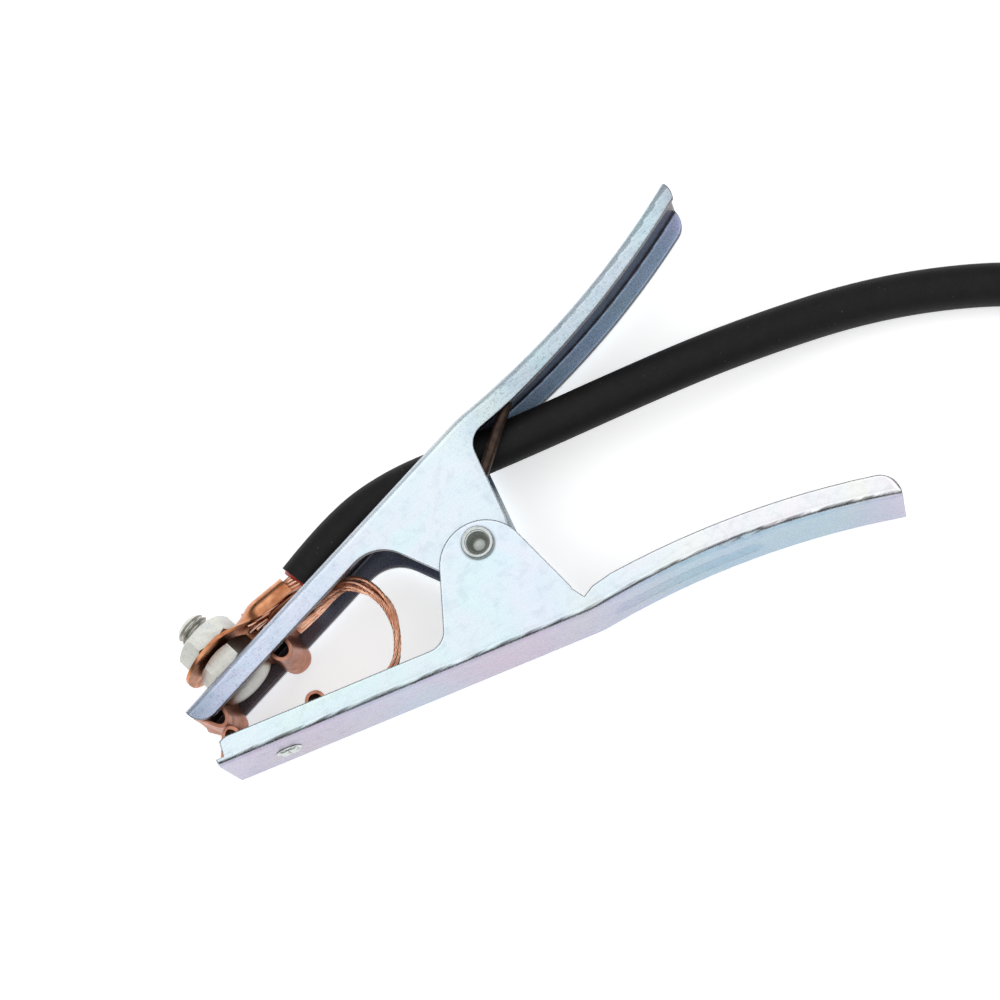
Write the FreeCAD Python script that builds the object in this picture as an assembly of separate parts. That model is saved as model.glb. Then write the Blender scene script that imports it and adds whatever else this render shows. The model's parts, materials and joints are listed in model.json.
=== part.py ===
import FreeCAD, Part

import math
import os

from FreeCAD import Vector

# Ground clamp for arc welding: two sprung pressed-steel levers on a tubular rivet, copper contact
# strips in the jaws, a copper shunt between them, and a rubber-sheathed lead bolted to the upper jaw.
# The clamp lies on its side. Millimetres, +Z up along the pivot.
# Everything is drawn about the pivot (x towards the handles, y towards the upper lever) and moved
# at the end, so that the origin is the middle of the clamp's footprint on the surface it lies on.

# --- driving dimensions -------------------------------------------------------------------------
SHEET = 1.5
MID_Z = 13.2
UPPER_WIDTH = 20.0
LOWER_WIDTH = 24.0
BEND_RADIUS = 2.0
INNER_BEND_RADIUS = 0.5

TIP_X = -75.6
BACK_Y = 25.0                 # height of the jaw's back line over the pivot
JAW_SLOPE = 12.8              # degrees
KINK_X = 12.0                 # where the jaw line and the handle meet
KINK_RADIUS = 25.0
HANDLE_SLOPE = 4.9            # degrees, where the handle starts
HANDLE_END = (82.3, 46.3)
UPPER_HANDLE_SHORTER = 1.5     # than the lower one
JAW_DEPTH = 5.7
HANDLE_DEPTH = 5.4
LUG_CENTRE = (-1.5, 4.9)
LUG_RADIUS = 10.2
LUG_JAW_ANGLE = -60.0         # degrees, direction of the lug's jaw-side edge
LUG_HANDLE_ANGLE = 80.5       # degrees, direction of its handle-side edge
CORNER_RADIUS = 4.5            # of the side walls at the jaw's tip
HANDLE_END_RADIUS = 5.0
END_CORNER_RADIUS = 3.0       # of the back sheet's corners
RIM_TAPER = 1.15              # the upper handle's top wall loses this much depth by its end
RIM_TAPER_FROM = 8.0          # degrees, the handle's slope where that starts
TIP_STEP = 1.9                # the lower side walls start this far behind the jaw's tip
# The notch between lug and handle, as the upper lever would have it.
LUG_NOTCH = [(11.7, 19.0), (11.3, 20.9), (12.5, 24.0), (15.3, 23.1), (20.5, 23.1), (21.0, 19.0)]
GROOVE_SLOPES = (6.6, 15.0)   # degrees, where the lower handle's pressed groove starts and ends
GROOVE_WIDTH = 7.5
GROOVE_DEPTH = 0.75

PIN_RADIUS = 3.0
PIN_FIT = 0.04
PIN_HEAD_RADIUS = 3.8
PIN_HEAD_HEIGHT = 1.15
PIN_RECESS_RADIUS = 2.3
PIN_RECESS_DEPTH = 6.0
FACE_GAP = 0.05

STRIP_THICKNESS = 0.8
STRIP_WIDTH = 14.6
STRIP_START = 0.6
STRIP_END = 35.0
HUMP_PLACES = (4.7, 25.3)     # along the jaw from the tip
HUMP_RADIUS = 2.5
JAW_GAP = 0.24                # between the closed contact humps

BOLT_PLACE = 14.3             # along the jaw from the tip
BOLT_RADIUS = 4.0
BOLT_HEAD_RADIUS = 7.0
BOLT_HEAD_HEIGHT = 2.6
BOLT_PROTRUSION = 4.2
BOLT_HOLE_RADIUS = 4.2
NUT_FLATS = 13.0
NUT_HEIGHT = 5.2
NUT_FIT = 0.02

PALM_RADIUS = 10.0
PALM_THICKNESS = 1.8
NECK_HALF_WIDTH = 8.0
BARREL_RADIUS = 3.6
BARREL_BORE = 2.7
BARREL_START = (-49.9, 19.0)
BARREL_END = (-41.0, 19.7)
CONDUCTOR_RADIUS = 2.6
INSULATION_RADIUS = 4.2

RIVET_RADIUS = 2.0
RIVET_HEAD_RADIUS = 4.0
RIVET_HEAD_HEIGHT = 1.5
RIVET_TAIL_RADIUS = 3.1
RIVET_TAIL_HEIGHT = 0.7

SPRING_WIRE = 1.3             # radius
SPRING_MEAN_RADIUS = 5.2
SPRING_LEG_Z = 6.8            # from the middle plane
SPRING_LEGS = {1: (37.6, 35.4), -1: (47.0, 28.5)}   # side: angle in degrees, length to the knee
SPRING_FOOT_LENGTH = 8.0

SHUNT_RADIUS = 1.3
SHUNT_ROUTE = [
    (-45.0, 10.5, 14.6), (-36.5, 11.6, 15.4), (-29.9, 13.0, 16.0), (-25.9, 8.2, 16.2), (-24.7, 2.0, 16.2),
    (-26.6, -4.4, 15.8), (-32.0, -11.2, 15.2), (-42.0, -11.6, 14.4),
]

CABLE_RADIUS = 5.0
SLOT_HALF_WIDTH = 6.2
SLOT_FROM_X = -42.5
SLOT_TO_X = 11.5
CABLE_ROUTE = [
    (-38.6, 20.1, 13.2), (-24.0, 24.7, 13.2), (-9.0, 25.0, 13.2), (6.0, 21.5, 13.2), (26.0, 17.2, 13.2),
    (46.0, 13.3, 13.1), (66.0, 9.4, 11.9), (84.0, 5.5, 8.6), (101.0, 0.8, 5.9), (117.0, -6.3, 5.1),
    (133.0, -16.2, 5.1), (148.0, -29.5, 5.1), (164.0, -50.0, 6.2),
]
COIL_CENTRE = (214.0, -15.0)
COIL_INNER = 35.0
COIL_OUTER = 65.0
COIL_BOTTOM = 1.2
COIL_TOP = 20.8
TIE_THICKNESS = 1.1
TIE_WIDTH = 7.0
TIE_ANGLES = (75.0, 300.0)
# From the coil's top turn round to the plug, about the coil's centre.
TAIL_ROUTE = [
    (-31.8, -50.9, 15.8), (-11.0, -62.9, 16.6), (12.1, -69.5, 15.6), (34.0, -68.0, 13.6), (52.3, -59.9, 12.0),
    (66.7, -46.0, 11.2), (75.5, -28.0, 11.0), (77.4, -10.1, 11.0),
]
RELIEF_LENGTH = 22.0
SLEEVE_LENGTH = 34.0
SLEEVE_RADIUS = 11.0
FLANGE_LENGTH = 3.0
FLANGE_RADIUS = 7.5
PLUG_PIN_LENGTH = 17.0
PLUG_PIN_RADIUS = 4.5


# --- drawing helpers ----------------------------------------------------------------------------
def direction(angle):
    return Vector(math.cos(math.radians(angle)), math.sin(math.radians(angle)), 0)


def normal(angle):
    return Vector(-math.sin(math.radians(angle)), math.cos(math.radians(angle)), 0)


def cylinder(radius, start, end):
    start, end = Vector(*start), Vector(*end)
    return Part.makeCylinder(radius, (end - start).Length, start, end - start)


def cone(start_radius, end_radius, start, end):
    start, end = Vector(*start), Vector(*end)
    return Part.makeCone(start_radius, end_radius, (end - start).Length, start, end - start)


def prism(edges, low_z, height):
    """The solid over a closed outline drawn in the XY plane."""
    face = Part.Face(Part.Wire(Part.__sortEdges__(edges)))
    face.translate(Vector(0, 0, low_z))
    return face.extrude(Vector(0, 0, height))


def polygon(points):
    points = [Vector(p[0], p[1], 0) for p in points]
    return [Part.LineSegment(a, b).toShape() for a, b in zip(points, points[1:] + points[:1])]


def round_upright_edges(solid, corners):
    """Rounds the edges along Z that stand nearest to each (x, y, radius)."""
    for x, y, radius in corners:
        upright = [e for e in solid.Edges if abs(e.tangentAt(e.FirstParameter).z) > 0.999]
        nearest = min(upright, key=lambda e: math.hypot(e.Vertexes[0].X - x, e.Vertexes[0].Y - y))
        solid = solid.makeFillet(radius, [nearest])
    return solid


def meeting(point_a, angle_a, point_b, angle_b):
    """Where two lines in the XY plane cross."""
    a, b = direction(angle_a), direction(angle_b)
    gap = point_b - point_a
    along = (gap.x * b.y - gap.y * b.x) / (a.x * b.y - a.y * b.x)
    return point_a + a * along


# --- the levers' side view, drawn for the upper lever ---------------------------------------------
TIP = Vector(TIP_X, BACK_Y + TIP_X * math.tan(math.radians(JAW_SLOPE)), 0)
KINK = Vector(KINK_X, BACK_Y + KINK_X * math.tan(math.radians(JAW_SLOPE)), 0)
KINK_REACH = KINK_RADIUS * math.tan(math.radians((JAW_SLOPE - HANDLE_SLOPE) / 2))
KINK_FROM = KINK - direction(JAW_SLOPE) * KINK_REACH
KINK_TO = KINK + direction(HANDLE_SLOPE) * KINK_REACH
KINK_CENTRE = KINK_FROM - normal(JAW_SLOPE) * KINK_RADIUS
HANDLE_CHORD = Vector(*HANDLE_END, 0) - KINK_TO
CHORD_SLOPE = math.degrees(math.atan2(HANDLE_CHORD.y, HANDLE_CHORD.x))
HANDLE_RADIUS = HANDLE_CHORD.Length / 2 / math.sin(math.radians(CHORD_SLOPE - HANDLE_SLOPE))
HANDLE_CENTRE = KINK_TO + normal(HANDLE_SLOPE) * HANDLE_RADIUS
END_SLOPE = 2 * CHORD_SLOPE - HANDLE_SLOPE
UPPER_END_SLOPE = END_SLOPE - math.degrees(UPPER_HANDLE_SHORTER / HANDLE_RADIUS)


def on_jaw(along, inward):
    """A point of the upper jaw: along from the tip, and inward from the back's outer face."""
    return TIP + direction(JAW_SLOPE) * along - normal(JAW_SLOPE) * inward


def on_handle(slope, inward):
    return HANDLE_CENTRE - normal(slope) * (HANDLE_RADIUS + inward)


def back_edges(inward, jaw_from=0.0, end_slope=END_SLOPE):
    """The back's line from the jaw's tip to the handle's end, moved inward."""
    start = on_jaw(jaw_from, inward)
    kink = [KINK_CENTRE + normal(a) * (KINK_RADIUS - inward)
            for a in (JAW_SLOPE, (JAW_SLOPE + HANDLE_SLOPE) / 2, HANDLE_SLOPE)]
    handle = [on_handle(a, inward) for a in (HANDLE_SLOPE, (HANDLE_SLOPE + end_slope) / 2, end_slope)]
    return [Part.LineSegment(start, kink[0]).toShape(), Part.Arc(*kink).toShape(), Part.Arc(*handle).toShape()]


def lever(width, jaw_corner_radius, handle_corner_radius, end_slope):
    """A pressed channel lever with its two pivot lugs, as the upper one of the pair."""
    low_z = MID_Z - width / 2
    lug_centre = Vector(*LUG_CENTRE, 0)
    jaw_tangent = lug_centre - normal(LUG_JAW_ANGLE) * LUG_RADIUS
    handle_tangent = lug_centre - normal(LUG_HANDLE_ANGLE) * LUG_RADIUS
    jaw_corner = meeting(on_jaw(0, JAW_DEPTH), JAW_SLOPE, jaw_tangent, LUG_JAW_ANGLE)
    handle_corner = meeting(on_handle(HANDLE_SLOPE, HANDLE_DEPTH), HANDLE_SLOPE + 0.5, handle_tangent,
                            LUG_HANDLE_ANGLE)
    rim_slope = math.degrees(math.atan2(handle_corner.x - HANDLE_CENTRE.x, HANDLE_CENTRE.y - handle_corner.y))
    handle_corner = on_handle(rim_slope, HANDLE_DEPTH)
    rim = [on_handle(a, HANDLE_DEPTH) for a in (rim_slope, (rim_slope + end_slope) / 2, end_slope)]
    lug_bottom = lug_centre + direction((LUG_JAW_ANGLE + LUG_HANDLE_ANGLE) / 2 - 90) * LUG_RADIUS
    outline = back_edges(0, end_slope=end_slope) + [
        Part.LineSegment(on_handle(end_slope, 0), rim[2]).toShape(),
        Part.Arc(*rim).toShape(),
        Part.LineSegment(handle_corner, handle_tangent).toShape(),
        Part.Arc(handle_tangent, lug_bottom, jaw_tangent).toShape(),
        Part.LineSegment(jaw_tangent, jaw_corner).toShape(),
        Part.LineSegment(jaw_corner, on_jaw(0, JAW_DEPTH)).toShape(),
        Part.LineSegment(on_jaw(0, JAW_DEPTH), on_jaw(0, 0)).toShape(),
    ]
    solid = prism(outline, low_z, width)
    solid = round_upright_edges(solid, [
        (rim[2].x, rim[2].y, HANDLE_END_RADIUS),
        (handle_corner.x, handle_corner.y, handle_corner_radius),
        (jaw_corner.x, jaw_corner.y, jaw_corner_radius),
        (on_jaw(0, JAW_DEPTH).x, on_jaw(0, JAW_DEPTH).y, CORNER_RADIUS),
    ])
    return solid


def hollow(solid, width):
    """Clears the channel between the side walls, below the back sheet."""
    far = 90.0
    inside = back_edges(SHEET, jaw_from=-10.0)
    start, end = inside[0].Vertexes[0].Point, on_handle(END_SLOPE, SHEET)
    beyond = end + direction(END_SLOPE) * 10
    inside += [
        Part.LineSegment(end, beyond).toShape(),
        Part.LineSegment(beyond, Vector(beyond.x, -far, 0)).toShape(),
        Part.LineSegment(Vector(beyond.x, -far, 0), Vector(start.x, -far, 0)).toShape(),
        Part.LineSegment(Vector(start.x, -far, 0), start).toShape(),
    ]
    gap = width - 2 * SHEET
    return solid.cut(prism(inside, MID_Z - gap / 2, gap))


def follows_back(edge, inward):
    """True for an edge that runs along the back's line at this depth."""
    middle = edge.valueAt((edge.FirstParameter + edge.LastParameter) / 2)
    flat = Vector(middle.x, middle.y, 0)
    line = Part.Wire(back_edges(inward))
    return edge.Length > 3.0 and line.distToShape(Part.Vertex(flat))[0] < 0.01


def fold(solid, width):
    """Rounds the two bends outside and inside."""
    half = width / 2
    outer = [e for e in solid.Edges if follows_back(e, 0) and abs(abs(e.Vertexes[0].Z - MID_Z) - half) < 0.01
             and abs(e.Vertexes[0].Z - e.Vertexes[1].Z) < 0.01]
    return solid.makeFillet(BEND_RADIUS, outer)


def fold_inside(solid, width):
    half = width / 2 - SHEET
    inner = [e for e in solid.Edges if follows_back(e, SHEET) and abs(abs(e.Vertexes[0].Z - MID_Z) - half) < 0.01
             and abs(e.Vertexes[0].Z - e.Vertexes[1].Z) < 0.01]
    return solid.makeFillet(INNER_BEND_RADIUS, inner)


def rounded_ends(solid, width):
    """Rounds the sheet's corners at the jaw's tip and the handle's end, seen from the back."""
    end = on_handle(END_SLOPE, 0)
    block = Part.makeBox(end.x - TIP_X + 4.0, 160, width, Vector(TIP_X - 2.0, -80, MID_Z - width / 2))
    upright = [e for e in block.Edges if abs(e.tangentAt(e.FirstParameter).y) > 0.999]
    return solid.common(block.makeFillet(END_CORNER_RADIUS, upright))


def capsule_cut(start_x, end_x, half_width, low_y, high_y):
    """A round-ended slot through the upper jaw's back, straight up and down in Y."""
    length = high_y - low_y
    up = Vector(0, 1, 0)
    ends = [Part.makeCylinder(half_width, length, Vector(x, low_y, MID_Z), up)
            for x in (start_x + half_width, end_x - half_width)]
    middle = Part.makeBox(end_x - start_x - 2 * half_width, length, 2 * half_width,
                          Vector(start_x + half_width, low_y, MID_Z - half_width))
    return ends[0].fuse(middle).fuse(ends[1]).removeSplitter()


def mirrored(solid):
    """The upper half's shape made into the lower half's."""
    return solid.mirror(Vector(0, 0, 0), Vector(0, 1, 0))


def pivot_hole(solid):
    return solid.cut(cylinder(PIN_RADIUS + PIN_FIT, (0, 0, -5), (0, 0, 40)))


def through_jaw(radius, inward_from, inward_to):
    """A round bar square to the upper jaw's back, on the bolt's axis."""
    start, end = on_jaw(BOLT_PLACE, inward_from), on_jaw(BOLT_PLACE, inward_to)
    lift = Vector(0, 0, MID_Z)
    return cylinder(radius, start + lift, end + lift)


# --- the levers -----------------------------------------------------------------------------------
def make_upper_lever():
    solid = fold(lever(UPPER_WIDTH, 9.0, 5.0, UPPER_END_SLOPE), UPPER_WIDTH)
    solid = fold_inside(hollow(solid, UPPER_WIDTH), UPPER_WIDTH)
    solid = rounded_ends(solid, UPPER_WIDTH)
    solid = solid.cut(capsule_cut(SLOT_FROM_X, SLOT_TO_X, SLOT_HALF_WIDTH, 5.0, 40.0))
    solid = solid.cut(through_jaw(BOLT_HOLE_RADIUS, -5, 5)).cut(rim_taper())
    return pivot_hole(solid)


def make_lower_lever():
    solid = fold(lever(LOWER_WIDTH, 4.6, 1.2, END_SLOPE), LOWER_WIDTH)
    solid = fold_inside(hollow(solid, LOWER_WIDTH), LOWER_WIDTH)
    solid = rounded_ends(solid, LOWER_WIDTH)
    solid = solid.cut(through_jaw(RIVET_RADIUS + PIN_FIT, -5, 5))
    solid = solid.cut(tip_step()).cut(lug_notch())
    return mirrored(pivot_hole(solid.cut(handle_groove())))


def rim_taper():
    """Taken off the upper handle's top wall, which gets a little shallower towards its end."""
    slopes = (RIM_TAPER_FROM, (RIM_TAPER_FROM + END_SLOPE) / 2, END_SLOPE + 2)
    near = [on_handle(a, HANDLE_DEPTH - RIM_TAPER * share) for a, share in zip(slopes, (0, 0.7, 1))]
    far = [on_handle(a, HANDLE_DEPTH + 3) for a in slopes]
    edges = [
        Part.Arc(*near).toShape(),
        Part.LineSegment(near[2], far[2]).toShape(),
        Part.Arc(*reversed(far)).toShape(),
        Part.LineSegment(far[0], near[0]).toShape(),
    ]
    return prism(edges, MID_Z, UPPER_WIDTH)


def tip_step():
    """Taken off the lower lever's side walls, which stop short of the back sheet's end."""
    corners = [on_jaw(a, i) for a, i in ((-3, SHEET), (TIP_STEP, SHEET), (TIP_STEP + 0.6, 12), (-3, 12))]
    return prism(polygon(corners), MID_Z - LOWER_WIDTH, 2 * LOWER_WIDTH)


def lug_notch():
    """The V-shaped relief where the lower lever's lugs end at the handle's side walls."""
    corners = [Vector(x, y, 0) for x, y in LUG_NOTCH]
    return prism(polygon(corners), MID_Z - LOWER_WIDTH, 2 * LOWER_WIDTH)


def handle_groove():
    """The round-ended shallow groove pressed along the handle's back, as the solid to take away."""
    swing = (GROOVE_WIDTH ** 2 / 4 + GROOVE_DEPTH ** 2) / (2 * GROOVE_DEPTH)
    first, last = [on_handle(a, GROOVE_DEPTH - swing) + Vector(0, 0, MID_Z) for a in GROOVE_SLOPES]
    section = Part.Face(Part.Wire(Part.makeCircle(swing, first, direction(GROOVE_SLOPES[0]))))
    groove = section.revolve(HANDLE_CENTRE, Vector(0, 0, 1), GROOVE_SLOPES[1] - GROOVE_SLOPES[0])
    for end in (first, last):
        groove = groove.fuse(Part.makeSphere(swing, end))
    return groove


def make_pivot_rivet():
    """A tubular rivet with a rolled head at each side and a recess in each end."""
    low, high = MID_Z - LOWER_WIDTH / 2 - FACE_GAP, MID_Z + LOWER_WIDTH / 2 + FACE_GAP
    solid = cylinder(PIN_RADIUS, (0, 0, low), (0, 0, high))
    for face, out in ((low, -1), (high, 1)):
        outer = face + out * PIN_HEAD_HEIGHT
        head = cylinder(PIN_HEAD_RADIUS, (0, 0, face), (0, 0, outer))
        solid = solid.fuse(head)
    solid = solid.removeSplitter()
    rims = [e for e in solid.Edges if e.Curve.TypeId == "Part::GeomCircle"
            and abs(e.Curve.Radius - PIN_HEAD_RADIUS) < 1e-6
            and abs(abs(e.Curve.Center.z - MID_Z) - LOWER_WIDTH / 2 - FACE_GAP - PIN_HEAD_HEIGHT) < 1e-6]
    solid = solid.makeFillet(0.7, rims)
    for face, out in ((low, -1), (high, 1)):
        outer = face + out * PIN_HEAD_HEIGHT
        solid = solid.cut(cone(PIN_RECESS_RADIUS + 0.2, PIN_RECESS_RADIUS - 0.2, (0, 0, outer),
                               (0, 0, outer - out * PIN_RECESS_DEPTH)))
    return solid


# --- the contacts ---------------------------------------------------------------------------------
def hump_height():
    """The hump's centre over the back sheet, so that the closed jaws' first humps nearly touch."""
    tip_height = TIP.y + HUMP_PLACES[0] * math.sin(math.radians(JAW_SLOPE))
    return (tip_height - HUMP_RADIUS - JAW_GAP / 2) / math.cos(math.radians(JAW_SLOPE)) - SHEET


def strip_block(along_from, along_to, rise_from, rise_to, width):
    corners = [on_jaw(a, SHEET + r) for a, r in (
        (along_from, rise_from), (along_to, rise_from), (along_to, rise_to), (along_from, rise_to))]
    return prism(polygon(corners), MID_Z - width / 2, width)


def hump_solid(place, radius, foot, width):
    """A round-topped ridge across the jaw, from foot up to its crown."""
    centre = on_jaw(place, SHEET + hump_height())
    low_z = MID_Z - width / 2
    crown = cylinder(radius, (centre.x, centre.y, low_z), (centre.x, centre.y, low_z + width))
    return strip_block(place - radius, place + radius, foot, hump_height(), width).fuse(crown)


def make_contact_strip():
    """The upper jaw's strip: a flat copper band with two hollow folded humps."""
    solid = strip_block(STRIP_START, STRIP_END, 0, STRIP_THICKNESS, STRIP_WIDTH)
    for place in HUMP_PLACES:
        solid = solid.fuse(hump_solid(place, HUMP_RADIUS, 0, STRIP_WIDTH))
    for place in HUMP_PLACES:
        solid = solid.cut(hump_solid(place, HUMP_RADIUS - STRIP_THICKNESS, -1.0, STRIP_WIDTH + 2))
    return solid.removeSplitter()


def make_upper_contact():
    return make_contact_strip().cut(through_jaw(BOLT_HOLE_RADIUS, 0, 5))


def make_lower_contact():
    return mirrored(make_contact_strip().cut(through_jaw(RIVET_RADIUS + PIN_FIT, 0, 5)))


def make_contact_rivet():
    seat = SHEET + STRIP_THICKNESS
    solid = through_jaw(RIVET_RADIUS, 0, seat)
    lift = Vector(0, 0, MID_Z)
    head = cone(RIVET_HEAD_RADIUS, RIVET_HEAD_RADIUS - 1.0, on_jaw(BOLT_PLACE, seat) + lift,
                on_jaw(BOLT_PLACE, seat + RIVET_HEAD_HEIGHT) + lift)
    tail = cone(RIVET_TAIL_RADIUS, RIVET_TAIL_RADIUS - 0.5, on_jaw(BOLT_PLACE, 0) + lift,
                on_jaw(BOLT_PLACE, -RIVET_TAIL_HEIGHT) + lift)
    return mirrored(solid.fuse(head).fuse(tail).removeSplitter())


# --- the terminal stack on the upper jaw ------------------------------------------------------------
PALM_LEVEL = NUT_HEIGHT                       # above the back
OUTER_NUT_LEVEL = PALM_LEVEL + PALM_THICKNESS
BOLT_END_LEVEL = OUTER_NUT_LEVEL + NUT_HEIGHT + BOLT_PROTRUSION


def make_terminal_bolt():
    seat = SHEET + STRIP_THICKNESS
    shank = through_jaw(BOLT_RADIUS, seat, -BOLT_END_LEVEL + 0.8)
    lift = Vector(0, 0, MID_Z)
    chamfer = cone(BOLT_RADIUS, BOLT_RADIUS - 0.8, on_jaw(BOLT_PLACE, -BOLT_END_LEVEL + 0.8) + lift,
                   on_jaw(BOLT_PLACE, -BOLT_END_LEVEL) + lift)
    head = through_jaw(BOLT_HEAD_RADIUS, seat, seat + 1.2)
    crown = cone(BOLT_HEAD_RADIUS, BOLT_HEAD_RADIUS - 2.0, on_jaw(BOLT_PLACE, seat + 1.2) + lift,
                 on_jaw(BOLT_PLACE, seat + BOLT_HEAD_HEIGHT) + lift)
    return shank.fuse(chamfer).fuse(head).fuse(crown).removeSplitter()


def make_nut(level, turn):
    """A chamfered hexagon nut, level above the back, turned about the bolt."""
    corner = NUT_FLATS / 2 / math.cos(math.radians(30))
    points = [direction(turn + 60 * k) * corner for k in range(6)]
    blank = prism(polygon([(p.x, p.y) for p in points]), 0, NUT_HEIGHT)
    slope = math.tan(math.radians(30))
    reach = corner - NUT_FLATS / 2 + 0.4
    base = corner + 0.01
    barrel = Part.makeCone(base - reach, base, reach * slope).fuse(
        Part.makeCylinder(base, NUT_HEIGHT - 2 * reach * slope, Vector(0, 0, reach * slope))).fuse(
        Part.makeCone(base, base - reach, reach * slope, Vector(0, 0, NUT_HEIGHT - reach * slope)))
    solid = blank.common(barrel.removeSplitter())
    solid = solid.cut(Part.makeCylinder(BOLT_RADIUS + NUT_FIT, NUT_HEIGHT + 2, Vector(0, 0, -1)))
    place = FreeCAD.Placement(on_jaw(BOLT_PLACE, -level) + Vector(0, 0, MID_Z),
                              FreeCAD.Rotation(Vector(0, 0, 1), normal(JAW_SLOPE)))
    solid.Placement = place
    return solid


def ellipse_wire(centre, along, half_wide, half_thick):
    """An upright ellipse, wide in Z and thin in the lever's plane, square to along."""
    thin = Vector(-along.y, along.x, 0).normalize()
    shape = Part.Ellipse(centre + Vector(0, 0, half_wide), centre + thin * half_thick, centre)
    return Part.Wire(shape.toShape())


def make_cable_lug():
    """A tube lug: a pressed round palm with a bolt hole, a tapering neck and a crimped barrel."""
    lift = Vector(0, 0, MID_Z)
    palm = through_jaw(PALM_RADIUS, -PALM_LEVEL, -OUTER_NUT_LEVEL)
    middle = PALM_LEVEL + PALM_THICKNESS / 2
    barrel_start = Vector(*BARREL_START, MID_Z)
    barrel_end = Vector(*BARREL_END, MID_Z)
    barrel_line = barrel_end - barrel_start
    neck_start = on_jaw(BOLT_PLACE + 6.6, -middle) + lift
    neck_end = barrel_start + barrel_line * 0.15
    neck = Part.makeLoft([
        ellipse_wire(neck_start, direction(JAW_SLOPE), NECK_HALF_WIDTH, PALM_THICKNESS / 2 - 0.05),
        ellipse_wire(neck_end, barrel_line, BARREL_RADIUS - 0.2, BARREL_RADIUS - 0.25),
    ], True)
    barrel = Part.makeCylinder(BARREL_RADIUS, barrel_line.Length, barrel_start, barrel_line)
    solid = palm.fuse(neck).fuse(barrel)
    solid = solid.cut(through_jaw(BOLT_HOLE_RADIUS, 0, -20))
    bore = Part.makeCylinder(BARREL_BORE, barrel_line.Length + 1, barrel_start, barrel_line)
    return solid.cut(bore)


def make_conductor():
    """The stranded copper core between the lug's barrel and the sheath."""
    start = Vector(*BARREL_START, MID_Z)
    into_barrel = start + (Vector(*BARREL_END, MID_Z) - start) * 0.05
    line = Vector(*BARREL_END, MID_Z) - start
    mouth = Vector(*BARREL_END, MID_Z)
    inner = Part.makeCylinder(CONDUCTOR_RADIUS, (mouth - into_barrel).Length, into_barrel, line)
    sheath = Vector(*CABLE_ROUTE[0])
    bridge = cylinder(CONDUCTOR_RADIUS, mouth, sheath)
    return inner.fuse(bridge).fuse(Part.makeSphere(CONDUCTOR_RADIUS, mouth)).removeSplitter()


def make_core_insulation(conductor):
    """The thin coloured separator that shows at the sheath's cut end."""
    start = Vector(*CABLE_ROUTE[0])
    along = (Vector(*CABLE_ROUTE[1]) - start).normalize()
    ring = Part.makeCylinder(INSULATION_RADIUS, 0.9, start - along * 0.9, along)
    return ring.cut(conductor)


# --- the spring and the shunt ---------------------------------------------------------------------
def make_torsion_spring():
    """The coil round the pivot as a sleeve of its outer shape, with a leg into each handle."""
    reach = SPRING_LEG_Z + SPRING_WIRE
    inner, outer = SPRING_MEAN_RADIUS - SPRING_WIRE, SPRING_MEAN_RADIUS + SPRING_WIRE
    solid = cylinder(outer, (0, 0, MID_Z - reach), (0, 0, MID_Z + reach))
    solid = solid.cut(cylinder(inner, (0, 0, MID_Z - reach - 1), (0, 0, MID_Z + reach + 1)))
    for side, height in ((1, MID_Z + SPRING_LEG_Z), (-1, MID_Z - SPRING_LEG_Z)):
        angle, length = SPRING_LEGS[side]
        root = normal(angle) * SPRING_MEAN_RADIUS
        knee = root + direction(angle) * length
        foot = knee + direction(HANDLE_SLOPE + 3.5) * SPRING_FOOT_LENGTH
        route = [(p.x, p.y * side, height) for p in (root, knee, foot)]
        solid = solid.fuse(tube("torsion_spring leg", route, SPRING_WIRE - 0.02))
    return solid.removeSplitter()


def tube(name, route, radius):
    """A round tube along straight runs joined by tangent arcs."""
    points = [Vector(*p) for p in route]
    edges, here, radii = [], points[0], []
    for before, corner, after in zip(points, points[1:], points[2:]):
        into, out = corner - before, after - corner
        shorter = min(into.Length, out.Length)
        half_turn = into.getAngle(out) / 2
        reach = 0.45 * shorter
        radii.append(reach / math.tan(half_turn))
        into.normalize()
        out.normalize()
        start, end = corner - into * reach, corner + out * reach
        inward = (out - into).normalize()
        middle = corner + inward * radii[-1] * (1 / math.cos(half_turn) - 1)
        edges.append(Part.LineSegment(here, start).toShape())
        edges.append(Part.Arc(start, middle, end).toShape())
        here = end
    edges.append(Part.LineSegment(here, points[-1]).toShape())
    spine = Part.Wire(edges)
    first = (points[1] - points[0]).normalize()
    section = Part.Wire(Part.makeCircle(radius, points[0], first))
    solid = spine.makePipeShell([section], True, False)
    ideal = math.pi * radius ** 2 * spine.Length
    print(f"{name}: length {spine.Length:.1f} volume {solid.Volume / ideal:.4f} of section x length,"
          f" radii {' '.join(f'{r:.0f}' for r in radii)}")
    return solid


# --- the stored lead --------------------------------------------------------------------------------
def make_cable_coil():
    """The outer shape of the stored turns: a flat-topped ring with sloped shoulders."""
    shoulder = 5.0
    half = (COIL_TOP + COIL_BOTTOM) / 2
    profile = [
        (COIL_INNER, COIL_BOTTOM + 3), (COIL_INNER + 3, COIL_BOTTOM), (COIL_OUTER - 3, COIL_BOTTOM),
        (COIL_OUTER, COIL_BOTTOM + 3), (COIL_OUTER, half), (COIL_OUTER - shoulder, COIL_TOP),
        (COIL_INNER + shoulder, COIL_TOP), (COIL_INNER, half),
    ]
    corners = [Vector(r, 0, z) for r, z in profile]
    face = Part.Face(Part.makePolygon(corners + corners[:1]))
    solid = face.revolve(Vector(0, 0, 0), Vector(0, 0, 1), 360)
    solid.translate(Vector(*COIL_CENTRE, 0))
    return solid


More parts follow.
